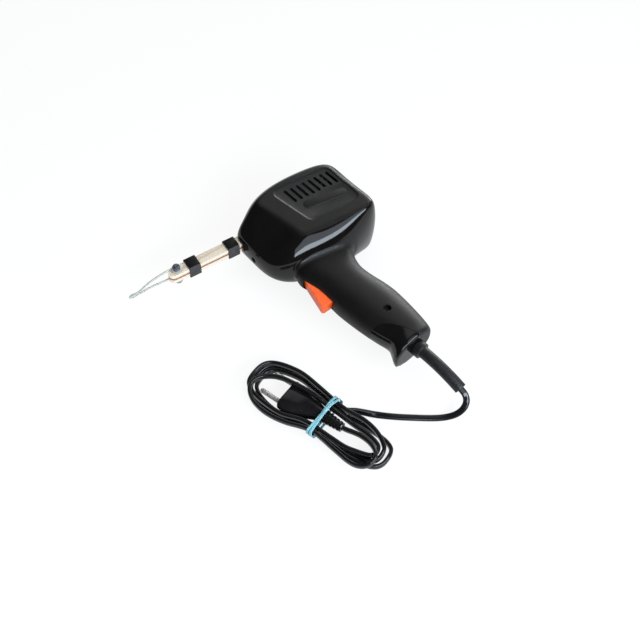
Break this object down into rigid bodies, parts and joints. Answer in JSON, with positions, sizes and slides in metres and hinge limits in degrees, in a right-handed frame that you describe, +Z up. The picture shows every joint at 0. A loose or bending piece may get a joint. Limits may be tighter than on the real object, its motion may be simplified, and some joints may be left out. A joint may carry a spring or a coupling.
{
  "type": "soldering gun",
  "caption": "Pistol-shaped instant-heat soldering iron with wire tip, orange trigger and coiled flat mains cord.",
  "frame": {"origin": "middle of the foot print of the gun without its free cord, at the table it lies on", "axes": "+X to the back of the gun (the tip points to -X), +Y to the top of the gun (the handle points to -Y), +Z up from the table to the gun's left side"},
  "size_m": [0.2204, 0.2582, 0.057],
  "materials": {
    "black_shell": "high gloss",
    "dark_plastic": "matte",
    "orange_plastic": "satin",
    "white_plastic": "matte",
    "plated_steel": "zinc plated",
    "brass_parts": "plain",
    "core_steel": "oxide-coated steel plates",
    "coil_wire": "enamelled copper",
    "plated_copper": "plated copper, satin",
    "brown_insulation": "hard paper",
    "black_clip": "satin",
    "tip_metal": "tinned",
    "lamp_glass": "clear",
    "brown_wire": "satin",
    "blue_wire": "satin",
    "cord_black": "glossy",
    "relief_black": "satin",
    "plug_black": "satin",
    "pin_metal": "bright",
    "band_blue": "matte"
  },
  "bodies": {
    "gun": {"housing_left": "black_shell", "housing_right": "black_shell", "housing_screws": "plated_steel", "trigger_pin": "plated_steel", "trigger_spring": "plated_steel", "switch_body": "dark_plastic", "switch_tags": "brass_parts", "core_e_plates": "core_steel", "core_i_plates": "core_steel", "bobbin": "white_plastic", "primary_coil": "coil_wire", "conductor_left": "plated_copper", "conductor_right": "plated_copper", "rear_bridge": "plated_copper", "bar_holder": "brown_insulation", "clip_front": "black_clip", "clip_rear": "black_clip", "tip_wire": "tip_metal", "tip_screws": "plated_steel", "tip_washers": "plated_steel", "lamp_bulb": "lamp_glass", "lamp_holder": "brown_insulation", "wire_live": "brown_wire", "wire_neutral": "blue_wire", "cord_clamp": "white_plastic", "clamp_screws": "plated_steel", "cord_tail": "cord_black", "strain_relief": "relief_black", "cord": "cord_black", "cord_hank": "cord_black", "plug_body": "plug_black", "plug_pins": "pin_metal", "rubber_band": "band_blue"},
    "trigger": {"trigger": "orange_plastic"},
    "plunger": {"switch_plunger": "white_plastic"}
  },
  "joints": [
    {"name": "trigger_pull", "type": "hinge", "parent": "gun", "child": "trigger", "pos_m": [0.0233, 0.03, 0.0285], "axis": [0, 0, 1], "range_deg": [0, 8], "stiffness_Nm_per_rad": 0.6, "deforming": ["trigger_spring"]},
    {"name": "plunger_slide", "type": "slide", "parent": "gun", "child": "plunger", "axis": [1, 0, 0], "range_m": [0, 0.0037]}
  ],
  "couplings": [
    {"joint": "plunger_slide", "follows": "trigger_pull", "m_per_rad": 0.026}
  ]
}
